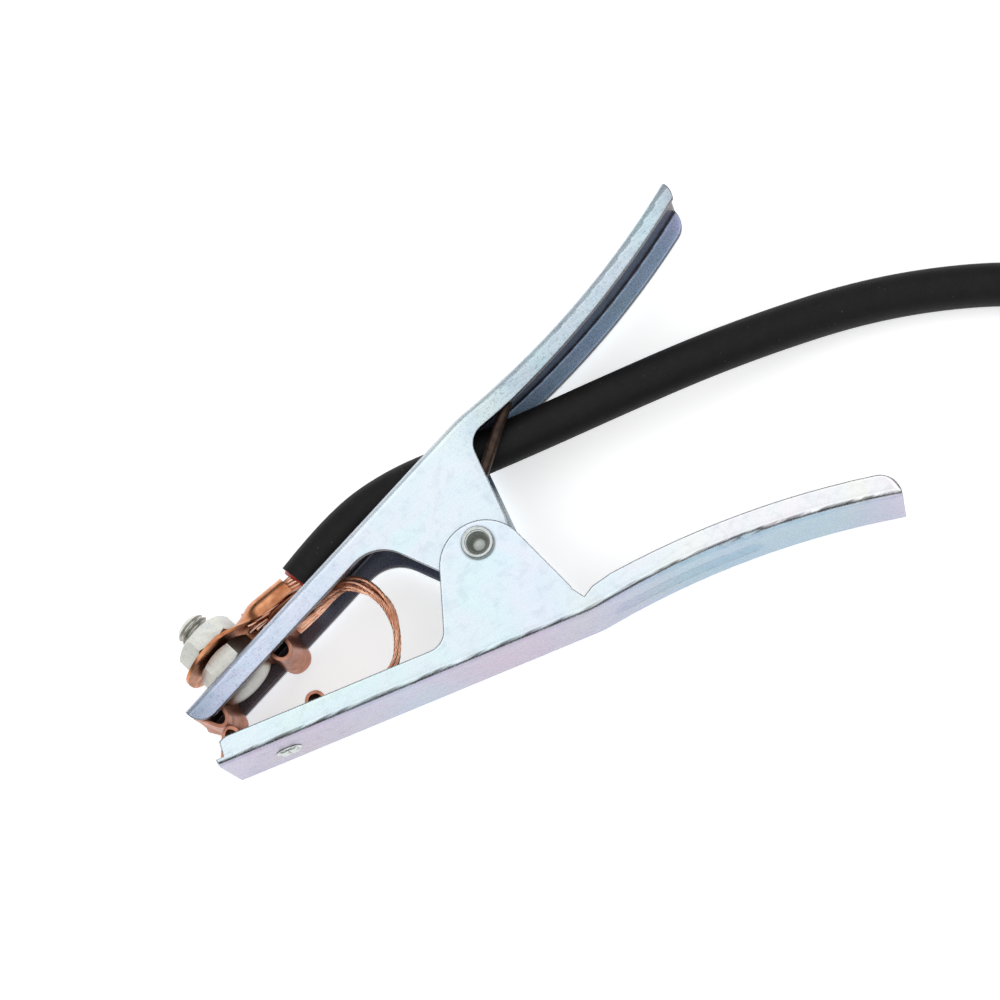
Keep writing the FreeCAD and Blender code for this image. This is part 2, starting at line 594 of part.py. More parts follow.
def make_coil_tie(angle):
    """A strap round the bundle of turns."""
    wide = COIL_OUTER - COIL_INNER + 2 * TIE_THICKNESS + 0.4
    tall = COIL_TOP - COIL_BOTTOM + 2 * TIE_THICKNESS + 0.2
    low_z = COIL_BOTTOM - TIE_THICKNESS - 0.1
    outer = Part.makeBox(wide, TIE_WIDTH, tall, Vector(COIL_INNER - TIE_THICKNESS - 0.2, -TIE_WIDTH / 2, low_z))
    inner = Part.makeBox(wide - 2 * TIE_THICKNESS, TIE_WIDTH + 2, tall - 2 * TIE_THICKNESS,
                         Vector(COIL_INNER - 0.2, -TIE_WIDTH / 2 - 1, low_z + TIE_THICKNESS))
    solid = outer.makeFillet(2.0, [e for e in outer.Edges if abs(e.tangentAt(e.FirstParameter).y) > 0.999])
    solid = solid.cut(inner)
    solid.rotate(Vector(0, 0, 0), Vector(0, 0, 1), angle)
    solid.translate(Vector(*COIL_CENTRE, 0))
    return solid


TAIL = [Vector(x + COIL_CENTRE[0], y + COIL_CENTRE[1], z) for x, y, z in TAIL_ROUTE]


def plug_point(along, lift=0.0):
    """A point of the plug's axis, counted from where the lead enters it."""
    line = (TAIL[-1] - TAIL[-2]).normalize()
    return TAIL[-1] + line * along + Vector(0, 0, lift)


def make_plug_relief():
    solid = cone(6.4, 8.6, plug_point(0), plug_point(RELIEF_LENGTH))
    bore = cylinder(CABLE_RADIUS, plug_point(-1), plug_point(RELIEF_LENGTH - 4))
    for k in range(4):
        place = 4.0 + 4.0 * k
        groove = cylinder(12, plug_point(place), plug_point(place + 1.4))
        solid = solid.cut(groove.cut(cylinder(6.0 + 0.4 * k, plug_point(place - 1), plug_point(place + 3))))
    return solid.cut(bore)


def make_plug_sleeve():
    start, end = RELIEF_LENGTH, RELIEF_LENGTH + SLEEVE_LENGTH
    solid = cylinder(SLEEVE_RADIUS, plug_point(start), plug_point(end))
    rims = [e for e in solid.Edges if e.Curve.TypeId == "Part::GeomCircle"]
    solid = solid.makeFillet(1.5, rims)
    line = (plug_point(1) - plug_point(0)).normalize()
    for k in range(12):
        turn = math.radians(30 * k)
        outward = line.cross(Vector(0, 0, 1)) * math.cos(turn) + Vector(0, 0, 1) * math.sin(turn)
        offset = outward * (SLEEVE_RADIUS + 0.4)
        groove = cylinder(1.0, plug_point(start + 5) + offset, plug_point(end - 5) + offset)
        solid = solid.cut(groove)
    return solid


def make_plug_pin():
    """The brass bayonet pin: a flange, the pin and its locking nub."""
    start = RELIEF_LENGTH + SLEEVE_LENGTH
    flange = cylinder(FLANGE_RADIUS, plug_point(start), plug_point(start + FLANGE_LENGTH))
    tip = start + FLANGE_LENGTH + PLUG_PIN_LENGTH
    pin = cylinder(PLUG_PIN_RADIUS, plug_point(start), plug_point(tip - 1))
    nose = cone(PLUG_PIN_RADIUS, PLUG_PIN_RADIUS - 1, plug_point(tip - 1), plug_point(tip))
    nub = cylinder(1.4, plug_point(tip - 5), plug_point(tip - 5, PLUG_PIN_RADIUS + 1.3))
    return flange.fuse(pin).fuse(nose).fuse(nub).removeSplitter()


# --- putting it together ------------------------------------------------------------------------------
def build():
    cable = tube("cable", CABLE_ROUTE, CABLE_RADIUS)
    conductor = make_conductor().cut(cable)
    clamp = {
        "upper_lever": make_upper_lever(),
        "lower_lever": make_lower_lever(),
        "pivot_rivet": make_pivot_rivet(),
        "torsion_spring": make_torsion_spring(),
        "upper_contact": make_upper_contact(),
        "lower_contact": make_lower_contact(),
        "contact_rivet": make_contact_rivet(),
        "terminal_bolt": make_terminal_bolt(),
        "inner_nut": make_nut(0, 8),
        "outer_nut": make_nut(OUTER_NUT_LEVEL, 25),
        "cable_lug": make_cable_lug(),
        "conductor": conductor,
        "core_insulation": make_core_insulation(conductor),
        "shunt_braid": tube("shunt_braid", SHUNT_ROUTE, SHUNT_RADIUS),
    }
    cord = {
        "cable": cable,
        "cable_coil": make_cable_coil(),
        "cable_tail": tube("cable_tail", TAIL, CABLE_RADIUS),
        "plug_relief": make_plug_relief(),
        "plug_sleeve": make_plug_sleeve(),
        "plug_pin": make_plug_pin(),
    }
    for number, angle in enumerate(TIE_ANGLES, start=1):
        cord[f"coil_tie_{number}"] = make_coil_tie(angle)
    return clamp, cord


def main():
    os.makedirs("parts", exist_ok=True)
    clamp, cord = build()
    box = Part.makeCompound(list(clamp.values())).optimalBoundingBox(True, False)
    shift = Vector(-(box.XMin + box.XMax) / 2, -(box.YMin + box.YMax) / 2, -box.ZMin)
    print(f"pivot at {shift.x:.4f} {shift.y:.4f}, floor shift {shift.z:.5f}")
    print(f"clamp size {box.XLength:.2f} {box.YLength:.2f} {box.ZLength:.2f}")
    for name, solid in {**clamp, **cord}.items():
        solid.translate(shift)
        if solid.ShapeType == "Compound" and len(solid.Solids) == 1:
            solid = solid.Solids[0]
        print(f"{name}: solids {len(solid.Solids)} valid {solid.isValid()} volume {solid.Volume:.1f}")
        solid.exportStep(f"parts/{name}.step")


main()
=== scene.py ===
import json
import math
import random

import bpy
from mathutils import Matrix, Vector


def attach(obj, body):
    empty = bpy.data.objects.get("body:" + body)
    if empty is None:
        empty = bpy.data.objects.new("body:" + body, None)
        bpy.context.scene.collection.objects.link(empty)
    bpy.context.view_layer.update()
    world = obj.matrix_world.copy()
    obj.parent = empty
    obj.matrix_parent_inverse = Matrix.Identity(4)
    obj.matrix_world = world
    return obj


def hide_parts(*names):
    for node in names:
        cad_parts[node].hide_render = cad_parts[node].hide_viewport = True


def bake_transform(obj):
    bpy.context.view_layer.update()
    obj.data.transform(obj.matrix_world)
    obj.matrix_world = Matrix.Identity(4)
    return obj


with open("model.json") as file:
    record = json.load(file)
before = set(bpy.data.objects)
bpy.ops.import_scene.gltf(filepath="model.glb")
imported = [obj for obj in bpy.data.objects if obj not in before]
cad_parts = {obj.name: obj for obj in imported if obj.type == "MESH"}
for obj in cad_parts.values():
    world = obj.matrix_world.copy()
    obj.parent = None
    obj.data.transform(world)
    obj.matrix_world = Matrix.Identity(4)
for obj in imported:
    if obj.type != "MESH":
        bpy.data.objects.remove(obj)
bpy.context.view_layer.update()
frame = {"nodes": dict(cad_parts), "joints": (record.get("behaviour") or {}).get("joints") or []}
nodes = frame["nodes"]
scene = bpy.context.scene
random.seed(7)

# --- places, in the part's own frame: about the pivot, millimetres in, metres out -----------------
MM = 0.001
PIVOT = Vector(frame["joints"][0]["pos_m"])
MID_Z = PIVOT.z / MM
UPPER, LOWER = "upper_jaw_body", "lower_jaw_body"

JAW_SLOPE = math.radians(12.8)
TIP = Vector((-75.6, 7.824))         # the upper jaw's outer tip
SHEET = 1.5
STRIP_THICKNESS = 0.8
STRIP_WIDTH = 14.6
BOLT_PLACE = 14.3
BOLT_RADIUS = 4.0
BOLT_END_LEVEL = 16.4                # above the jaw's back
BARREL_START = Vector((-49.9, 19.0))  # the middle of the lug's barrel, end to end
BARREL_END = Vector((-41.0, 19.7))
CABLE_RADIUS = 5.0
LEVERS_FROM, LEVERS_TO = -76, 82     # the levers' ends, for tints that drift along them


def at(x, y, z):
    """A point of the row frame, in metres: x and y about the pivot and z from the floor, in millimetres."""
    return Vector((PIVOT.x + x * MM, PIVOT.y + y * MM, z * MM))


def on_jaw(along, inward, z=MID_Z, side=1):
    """A point of a jaw: along from its tip, inward from its back; side 1 is the upper jaw, -1 the lower."""
    x = TIP.x + along * math.cos(JAW_SLOPE) + inward * math.sin(JAW_SLOPE)
    y = TIP.y + along * math.sin(JAW_SLOPE) - inward * math.cos(JAW_SLOPE)
    return at(x, side * y, z)


# --- camera ---------------------------------------------------------------------------------------
CAMERA_PLACE = at(9.5, -188.83, 688.68)
CAMERA_ELEVATION = math.radians(73.7)
CAMERA_ROLL = math.radians(35.0)


def make_camera():
    data = bpy.data.cameras.new("camera")
    data.sensor_width = 36.0
    data.lens = 111.6
    data.clip_start = 0.01
    data.clip_end = 20.0
    camera = bpy.data.objects.new("camera", data)
    scene.collection.objects.link(camera)
    across = Vector((1, 0, 0))
    over = Vector((0, math.sin(CAMERA_ELEVATION), math.cos(CAMERA_ELEVATION)))
    back = Vector((0, -math.cos(CAMERA_ELEVATION), math.sin(CAMERA_ELEVATION)))
    right = across * math.cos(CAMERA_ROLL) - over * math.sin(CAMERA_ROLL)
    up = across * math.sin(CAMERA_ROLL) + over * math.cos(CAMERA_ROLL)
    turn = Matrix((right, up, back)).transposed().to_4x4()
    camera.matrix_world = Matrix.Translation(CAMERA_PLACE) @ turn
    scene.camera = camera


make_camera()


# --- node materials -------------------------------------------------------------------------------
class Finish:
    """A Principled material with a few helpers for its node tree."""

    def __init__(self, name, **sockets):
        self.material = bpy.data.materials.new(name)
        self.material.use_nodes = True
        self.tree = self.material.node_tree
        self.bsdf = self.tree.nodes["Principled BSDF"]
        for key, value in sockets.items():
            self.bsdf.inputs[key.replace("_", " ")].default_value = value
        places = self.tree.nodes.new("ShaderNodeTexCoord")
        self.coords = places.outputs["Object"]
        self.bump_normal = None

    def node(self, kind, **settings):
        made = self.tree.nodes.new(kind)
        for key, value in settings.items():
            setattr(made, key, value)
        return made

    def link(self, output, socket):
        self.tree.links.new(output, socket)

    def parts(self, vector):
        made = self.node("ShaderNodeSeparateXYZ")
        self.link(vector, made.inputs["Vector"])
        return made.outputs["X"], made.outputs["Y"], made.outputs["Z"]

    def times(self, first, second):
        made = self.node("ShaderNodeMath", operation="MULTIPLY")
        self.link(first, made.inputs[0])
        self.link(second, made.inputs[1])
        return made.outputs["Value"]

    def rounded(self, radius):
        """Normals that roll over every edge by this radius, in millimetres, for shading and for masks."""
        made = self.node("ShaderNodeBevel", samples=8)
        made.inputs["Radius"].default_value = radius * MM
        self.bump_normal = made.outputs["Normal"]
        turned = self.node("ShaderNodeVectorTransform", vector_type="NORMAL", convert_from="WORLD",
                           convert_to="OBJECT")
        self.link(self.bump_normal, turned.inputs["Vector"])
        self.normal = turned.outputs["Vector"]

    def openness(self, reach):
        """Near 0 in narrow gaps, 1 in the open; reach is in millimetres."""
        made = self.node("ShaderNodeAmbientOcclusion")
        made.inputs["Distance"].default_value = reach * MM
        return made.outputs["AO"]

    def ramp_value(self, value, stops):
        return self.ramp(value, [(place, (grey, grey, grey)) for place, grey in stops])

    def stretched(self, scale, turn=0.0):
        mapping = self.node("ShaderNodeMapping")
        mapping.inputs["Scale"].default_value = scale
        mapping.inputs["Rotation"].default_value = (0, 0, turn)
        self.link(self.coords, mapping.inputs["Vector"])
        return mapping.outputs["Vector"]

    def noise(self, scale, detail=2.0, distortion=0.0, vector=None):
        made = self.node("ShaderNodeTexNoise")
        made.inputs["Scale"].default_value = scale
        made.inputs["Detail"].default_value = detail
        made.inputs["Distortion"].default_value = distortion
        self.link(vector or self.coords, made.inputs["Vector"])
        return made.outputs["Fac"]

    def ramp(self, value, stops):
        made = self.node("ShaderNodeValToRGB")
        elements = made.color_ramp.elements
        while len(elements) < len(stops):
            elements.new(0.5)
        for element, (place, colour) in zip(elements, stops):
            element.position = place
            element.color = (*colour, 1.0)
        self.link(value, made.inputs["Fac"])
        return made.outputs["Color"]

    def spread(self, value, low, high, from_low=0.3, from_high=0.7):
        made = self.node("ShaderNodeMapRange")
        made.inputs["From Min"].default_value = from_low
        made.inputs["From Max"].default_value = from_high
        made.inputs["To Min"].default_value = low
        made.inputs["To Max"].default_value = high
        self.link(value, made.inputs["Value"])
        return made.outputs["Result"]

    def mix(self, first, second, how="MULTIPLY", share=1.0):
        made = self.node("ShaderNodeMix", data_type="RGBA", blend_type=how)
        if isinstance(share, float):
            made.inputs["Factor"].default_value = share
        else:
            self.link(share, made.inputs["Factor"])
        for source, socket in ((first, made.inputs["A"]), (second, made.inputs["B"])):
            if isinstance(source, tuple):
                socket.default_value = (*source, 1.0)
            else:
                self.link(source, socket)
        return made.outputs["Result"]

    def bump(self, height, strength, depth):
        made = self.node("ShaderNodeBump")
        made.inputs["Strength"].default_value = strength
        made.inputs["Distance"].default_value = depth
        self.link(height, made.inputs["Height"])
        if self.bump_normal is not None:
            self.link(self.bump_normal, made.inputs["Normal"])
        self.bump_normal = made.outputs["Normal"]
        self.link(self.bump_normal, self.bsdf.inputs["Normal"])

    def set(self, **sockets):
        for key, value in sockets.items():
            self.link(value, self.bsdf.inputs[key.replace("_", " ")])
        return self.material


def plating_grain(f, grain, brush_turn=0.0):
    """Speckled plating over drawn lines, as bump; gives back the speckle and the flecks that darken it."""
    speckle = f.noise(3400, 3.0)
    lines = f.noise(1.0, 3.0, 0.0, f.stretched((120, 2400, 2400), brush_turn))
    f.bump(speckle, 0.10 * grain, 0.00006)
    f.bump(lines, 0.12 * grain, 0.00006)
    f.bump(f.noise(300, 2.0), 0.10, 0.0002)
    flecks = f.mix(f.ramp(f.noise(2300, 4.0), [(0.33, (0.62, 0.65, 0.68)), (0.45, (1.0, 1.0, 1.0))]),
                   f.ramp(lines, [(0.30, (0.80, 0.82, 0.85)), (0.50, (1.0, 1.0, 1.0))]))
    return speckle, flecks


def zinc(name, tints, grain=1.0, dullness=0.0):
    """Dull zinc of small parts, in a few pale greys, with painted shade in its gaps and corners."""
    f = Finish(name, Metallic=1.0)
    speckle, flecks = plating_grain(f, grain)
    colour = f.mix(f.ramp(f.noise(120, 3.0, 0.6), tints), flecks, share=0.4)
    # Painted shade: brown-grey darkening wherever other surfaces come within 10 mm.
    colour = f.mix(colour, f.ramp(f.openness(10), [(0.30, (0.36, 0.32, 0.29)), (0.85, (1.0, 1.0, 1.0))]))
    return f.set(Base_Color=colour, Roughness=f.spread(speckle, 0.24 + dullness, 0.42 + dullness))


# Heights in metres over which a lever's masks fade: the clamp's far half, and the walls' inner faces.
FAR_HALF_FADE = (10 * MM, 14 * MM)
FAR_WALL_FADE = (3.0 * MM, 3.6 * MM)
NEAR_WALL_FADE = (22.8 * MM, 23.4 * MM)


def lever_zinc(name, along, back, back_side, fleck_share, bend_reflection, bend_gloss):
    """Blue-passivated sheet: its tint drifts along the lever, on the walls and on the back, where darker
    copies of it are painted shade.

    Inside the channel the far wall gets painted shade and reflection, near black towards the tip and steel
    blue further back, apart from the lug behind the pivot, and pale colours drift over everything. back_side
    is 1 for the upper lever and -1 for the lower.
    """
    f = Finish(name, Metallic=1.0)
    f.rounded(0.8)
    speckle, flecks = plating_grain(f, 1.0, -JAW_SLOPE)
    x, y, z = f.parts(f.coords)
    _, normal_y, normal_z = f.parts(f.normal)
    place = f.spread(x, 0.0, 1.0, at(LEVERS_FROM, 0, 0).x, at(LEVERS_TO, 0, 0).x)
    # Painted shade: the back faces take darker colours than the walls, chosen by face direction.
    shaded_back = f.spread(normal_y, 0.0, 1.0, 0.55 * back_side, 0.85 * back_side)
    far_wall = f.times(f.spread(z, 1.0, 0.0, *FAR_HALF_FADE), f.spread(normal_z, 0.0, 1.0, 0.3, 0.6))
    between_walls = f.times(f.spread(z, 0.0, 1.0, *FAR_WALL_FADE), f.spread(z, 1.0, 0.0, *NEAR_WALL_FADE))
    # Painted shade: the back's inner face between the walls goes near black.
    painted_shade_under_back = f.times(between_walls, f.spread(normal_y, 0.0, 1.0, -0.3 * back_side, -0.6 * back_side))
    colour = f.mix(f.ramp(place, along), f.ramp(place, back), "MIX", shaded_back)
    lug_rear = f.times(f.spread(x, 0.0, 1.0, at(0, 0, 0).x, at(3, 0, 0).x),
                       f.spread(y, 1.0, 0.0, at(0, 13 * back_side, 0).y, at(0, 15 * back_side, 0).y))
    # Painted shade and reflection on the far wall inside the channel, left off the lug behind the pivot.
    painted_inside_shade = f.times(far_wall, f.spread(lug_rear, 1.0, 0.0, 0.0, 1.0))
    colour = f.mix(colour, f.ramp(place, INSIDE_SHADE_ALONG), "MIX", painted_inside_shade)
    colour = f.mix(colour, UNDER_BACK_SHADE, "MIX", painted_shade_under_back)
    # Painted reflection: a broken dark line along the outer bend between wall and back, given no strength on
    # the upper lever.
    on_bend = f.times(f.spread(normal_y, 0.0, 1.0, 0.28 * back_side, 0.42 * back_side),
                      f.spread(normal_z, 0.0, 1.0, 0.64, 0.72))
    painted_bend_reflection = f.spread(f.noise(1.0, 4.0, 0.6, f.stretched((90, 900, 900))), 0.0, bend_reflection, 0.36, 0.62)
    colour = f.mix(colour, BEND_REFLECTION_DARK, "MIX", f.times(on_bend, painted_bend_reflection))
    colour = f.mix(colour, f.ramp(f.noise(44, 2.0, 0.9), PASSIVATION_DRIFT))
    rubbed = f.ramp(f.noise(380, 5.0, 0.5), [(0.30, (0.88, 0.89, 0.91)), (0.50, (1.0, 1.0, 1.0))])
    colour = f.mix(f.mix(colour, rubbed, share=0.8), flecks, share=f.ramp_value(place, fleck_share))
    # Painted shade: grey darkening in gaps narrower than about 1.6 mm, as contact shadow lines between
    # parts.
    colour = f.mix(colour, f.ramp(f.openness(1.6), [(0.35, (0.42, 0.42, 0.46)), (0.8, (1.0, 1.0, 1.0))]))
    rolled = f.times(f.spread(normal_y, 0.0, 1.0, 0.2 * back_side, 0.4 * back_side),
                     f.spread(normal_z, 0.0, 1.0, 0.2, 0.4))
    gloss = f.times(f.spread(far_wall, 1.0, 0.35, 0.0, 1.0), f.spread(rolled, 1.0, bend_gloss, 0.0, 1.0))
    return f.set(Base_Color=colour, Roughness=f.spread(speckle, 0.20, 0.36), Metallic=gloss)


# Tints along the levers, from the jaw's tip at 0 to the handle's end at 1.
# Painted shade and reflection inside the channel: near black towards the jaw's tip, steel blue towards the
# handle.
INSIDE_SHADE_ALONG = [
    (0.0, (0.20, 0.16, 0.17)), (0.25, (0.13, 0.13, 0.17)), (0.5, (0.10, 0.13, 0.20)),
    (0.6, (0.42, 0.60, 0.80)), (0.92, (0.50, 0.66, 0.86)), (1.0, (0.60, 0.62, 0.90)),
]
UPPER_ALONG = [
    (0.0, (0.34, 0.39, 0.49)), (0.05, (0.50, 0.56, 0.68)), (0.12, (0.66, 0.73, 0.85)),
    (0.25, (0.72, 0.79, 0.88)), (0.36, (0.80, 0.89, 0.93)), (0.52, (0.82, 0.92, 0.95)),
    (0.57, (0.72, 0.82, 0.86)), (0.66, (0.57, 0.68, 0.72)), (0.95, (0.63, 0.74, 0.79)),
    (1.0, (0.48, 0.55, 0.60)),
]
# Darker copies of the wall colours for the back faces: painted shade, with a hue that drifts along.
UPPER_BACK_SHADED = [(0.0, (0.50, 0.55, 0.62)), (0.5, (0.60, 0.66, 0.72)), (1.0, (0.62, 0.68, 0.74))]
UPPER_FLECKS = [(0.0, 0.9), (0.2, 0.5), (0.35, 0.12), (0.52, 0.12), (0.62, 0.9), (1.0, 0.7)]
LOWER_ALONG = [
    (0.0, (0.80, 0.93, 0.95)), (0.3, (0.79, 0.93, 0.93)), (0.5, (0.82, 0.91, 0.97)),
    (0.62, (0.85, 0.93, 0.96)), (0.72, (0.95, 0.97, 0.97)), (1.0, (0.97, 0.97, 0.96)),
]
LOWER_BACK_SHADED = [
    (0.0, (0.45, 0.43, 0.53)), (0.12, (0.48, 0.42, 0.52)), (0.28, (0.46, 0.48, 0.58)),
    (0.42, (0.50, 0.42, 0.51)), (0.60, (0.44, 0.46, 0.56)), (0.70, (0.35, 0.48, 0.58)),
    (0.90, (0.35, 0.48, 0.56)), (1.0, (0.43, 0.42, 0.53)),
]
LOWER_FLECKS = [(0.0, 0.25), (0.5, 0.10), (1.0, 0.12)]
# Painted shade for the back's inner face between the walls.
UNDER_BACK_SHADE = (0.09, 0.075, 0.085)
# Painted reflection: the dark line along a lever's outer bend.
BEND_REFLECTION_DARK = (0.16, 0.16, 0.17)
PASSIVATION_DRIFT = [
    (0.32, (0.93, 1.0, 1.0)), (0.45, (1.0, 0.965, 1.0)), (0.55, (0.95, 0.97, 1.0)),
    (0.68, (1.0, 1.0, 0.955)),
]
NUT_TINTS = [(0.3, (0.68, 0.69, 0.64)), (0.5, (0.80, 0.80, 0.74)), (0.7, (0.64, 0.66, 0.66))]
RIVET_TINTS = [(0.3, (0.50, 0.58, 0.56)), (0.5, (0.66, 0.70, 0.68)), (0.7, (0.50, 0.52, 0.50))]


def copper(name, light, dark, roughness, grain=1.0):
    """Bare copper with brown tarnish in soft patches and a faint drawn grain."""
    f = Finish(name, Metallic=1.0)
    patches = f.noise(330, 4.0, 0.4)
    colour = f.ramp(patches, [(0.35, light), (0.68, dark)])
    grain_lines = f.noise(1.0, 3.0, 0.0, f.stretched((200, 200, 3000)))
    f.bump(grain_lines, 0.12 * grain, 0.00008)
    f.bump(f.noise(2500, 3.0), 0.08 * grain, 0.00005)
    return f.set(Base_Color=colour, Roughness=f.spread(patches, roughness - 0.06, roughness + 0.10))


def rubber(name, base, roughness, grain_scale=2400):
    """Matt black rubber with a moulded grain and dusty scuffs."""
    f = Finish(name, Metallic=0.0, Specular_IOR_Level=0.22)
    scuff = f.noise(240, 5.0, 0.8)
    colour = f.ramp(scuff, [(0.35, base), (0.75, tuple(1.3 * c + 0.001 for c in base))])
    dust = f.ramp(f.noise(1500, 1.0), [(0.76, (0.0, 0.0, 0.0)), (0.80, (0.05, 0.048, 0.045))])
    colour = f.mix(colour, dust, "ADD")
    grain = f.noise(grain_scale, 3.0)
    f.bump(grain, 0.25, 0.00008)
    f.bump(f.noise(600, 2.0), 0.12, 0.00015)
    return f.set(Base_Color=colour, Roughness=f.spread(grain, roughness - 0.06, roughness + 0.08))


def dark_steel(name, base, light, roughness):
    """Oil-blackened spring wire, rubbed lighter in places."""
    f = Finish(name, Metallic=0.75)
    worn = f.noise(500, 4.0, 0.3)
    f.bump(f.noise(2600, 3.0), 0.15, 0.00008)
    return f.set(Base_Color=f.ramp(worn, [(0.40, base), (0.72, light)]),
                 Roughness=f.spread(worn, roughness, roughness - 0.12))


def webbing(name):
    """Hook and loop strap: short napped fibres over a woven ground."""
    f = Finish(name, Metallic=0.0, Sheen_Weight=0.35, Sheen_Roughness=0.5)
    nap = f.noise(5200, 4.0, 0.8)
    ground = f.noise(1.0, 1.0, 0.0, f.stretched((1600, 1600, 900)))
    f.bump(nap, 0.8, 0.0003)
    f.bump(ground, 0.3, 0.0002)
    return f.set(Base_Color=f.ramp(nap, [(0.35, (0.010, 0.010, 0.011)), (0.7, (0.045, 0.045, 0.048))]),
                 Roughness=f.spread(nap, 0.75, 0.95))


def film(name):
    """The thin red separator, slightly glossy and unevenly stretched."""
    f = Finish(name, Metallic=0.0, Coat_Weight=0.3, Coat_Roughness=0.25)
    patch = f.noise(900, 3.0, 0.5)
    f.bump(patch, 0.3, 0.0002)
    return f.set(Base_Color=f.ramp(patch, [(0.35, (0.30, 0.012, 0.010)), (0.7, (0.55, 0.035, 0.022))]),
                 Roughness=f.spread(patch, 0.35, 0.5))


FINISHES = {
    "upper_plate": lever_zinc("zinc_upper", UPPER_ALONG, UPPER_BACK_SHADED, 1, UPPER_FLECKS, 0.0, 0.35),
    "lower_plate": lever_zinc("zinc_lower", LOWER_ALONG, LOWER_BACK_SHADED, -1, LOWER_FLECKS, 0.9, 1.0),
    "fastener": zinc("zinc_fastener", NUT_TINTS, 2.0, 0.10),
    "rivet": zinc("rivet_steel", RIVET_TINTS, 0.8, -0.04),
    "spring": dark_steel("spring_steel", (0.036, 0.022, 0.016), (0.085, 0.052, 0.038), 0.50),
    "contact": copper("contact_copper", (0.60, 0.29, 0.20), (0.40, 0.17, 0.11), 0.40),
    "lug": copper("lug_copper", (0.72, 0.33, 0.17), (0.45, 0.16, 0.07), 0.28),
    "strand": copper("strand_copper", (0.97, 0.60, 0.43), (0.60, 0.26, 0.15), 0.26),
    "separator": film("separator_red"),
    "jacket": rubber("cable_rubber", (0.0085, 0.0082, 0.0080), 0.62),
    "plug": rubber("plug_rubber", (0.018, 0.018, 0.019), 0.50, 1500),
    "brass": copper("plug_brass", (0.88, 0.68, 0.34), (0.70, 0.48, 0.18), 0.24, 0.5),
    "tie": webbing("tie_fabric"),
}


# --- mesh helpers ---------------------------------------------------------------------------------
SHARP_ANGLE = 35.0


def add_object(name, data, finish):
    made = bpy.data.objects.new(name, data)
    scene.collection.objects.link(made)
    data.materials.append(FINISHES[finish])
    return made


def mesh_piece(name, verts, faces, finish, sharp=SHARP_ANGLE):
    mesh = bpy.data.meshes.new(name)
    mesh.from_pydata([tuple(v) for v in verts], [], faces)
    mesh.validate()
    mesh.update()
    made = add_object(name, mesh, finish)
    mesh.shade_smooth()
    mesh.set_sharp_from_angle(angle=math.radians(sharp))
    return made


def grid_faces(rows, columns, start=0, wrap=False):
    """Quads over rows of vertices; wrap joins each row's end to its start."""
    faces = []
    for i in range(rows - 1):
        for j in range(columns if wrap else columns - 1):
            k = (j + 1) % columns
            a, b = start + i * columns, start + (i + 1) * columns
            faces.append((a + j, a + k, b + k, b + j))
    return faces


def spline_points(points, resolution=12):
    """Points along the smooth NURBS line of a route, in metres."""
    data = bpy.data.curves.new("route", "CURVE")
    data.dimensions = "3D"
    data.resolution_u = resolution
    add_spline(data, points)
    holder = bpy.data.objects.new("route", data)
    mesh = bpy.data.meshes.new_from_object(holder)
    line = [v.co.copy() for v in mesh.vertices]
    bpy.data.objects.remove(holder)
    bpy.data.meshes.remove(mesh)
    return line


def add_spline(data, points):
    spline = data.splines.new("NURBS")
    spline.points.add(len(points) - 1)
    for point, place in zip(spline.points, points):
        point.co = (*place, 1.0)
    spline.order_u = 3
    spline.use_endpoint_u = True
    return spline


def frames_along(line):
    """A turning frame at each point of a line that doesn't twist about it."""
    frames = []
    across = None
    for i, point in enumerate(line):
        ahead = (line[min(i + 1, len(line) - 1)] - line[max(i - 1, 0)]).normalized()
        if across is None:
            across = ahead.orthogonal().normalized()
        across = (across - ahead * across.dot(ahead)).normalized()
        frames.append((point, ahead, across, ahead.cross(across)))
    return frames


def add_tube(verts, faces, line, radius, sides=10):
    """A capped round tube along a line, added to a mesh's lists; radius is a number or one per point."""
    start = len(verts)
    for i, (point, ahead, u, v) in enumerate(frames_along(line)):
        r = radius[i] if isinstance(radius, list) else radius
        for k in range(sides):
            turn = 2 * math.pi * k / sides
            verts.append(point + (u * math.cos(turn) + v * math.sin(turn)) * r)
    faces += grid_faces(len(line), sides, start, wrap=True)
    faces.append(tuple(start + k for k in reversed(range(sides))))
    end = start + (len(line) - 1) * sides
    faces.append(tuple(end + k for k in range(sides)))


def add_lathe(verts, faces, profile, origin, axis, sides=64, shape=None):
    """A closed profile of (radius, height) turned about an axis; shape may change the radius by angle."""
    start = len(verts)
    axis = axis.normalized()
    u = axis.orthogonal().normalized()
    v = axis.cross(u)
    for k in range(sides):
        turn = 2 * math.pi * k / sides
        out = u * math.cos(turn) + v * math.sin(turn)
        for radius, height in profile:
            if shape:
                radius, height = shape(turn, radius, height)
            verts.append(origin + out * radius * MM + axis * height * MM)
    count = len(profile)
    for k in range(sides):
        a, b = start + k * count, start + (k + 1) % sides * count
        for i in range(count):
            j = (i + 1) % count
            faces.append((a + i, b + i, b + j, a + j))


def soften(obj, width):
    """Rolls over the sharp edges of a piece, as tumbling and plating leave them."""
    weld = obj.modifiers.new("weld", "WELD")
    weld.merge_threshold = 0.002 * MM
    bevel = add_bevel(obj, width)
    bevel.limit_method = "ANGLE"
    bevel.angle_limit = math.radians(SHARP_ANGLE)
    bevel.harden_normals = True


def add_bevel(obj, width):
    bevel = obj.modifiers.new("soft_edges", "BEVEL")
    bevel.width = width * MM
    bevel.segments = 2
    return bevel


def add_thickness(obj, thickness):
    """Makes an open surface a sheet, half its thickness to each side."""
    sheet = obj.modifiers.new("sheet", "SOLIDIFY")
    sheet.thickness = thickness * MM
    sheet.offset = 0.0


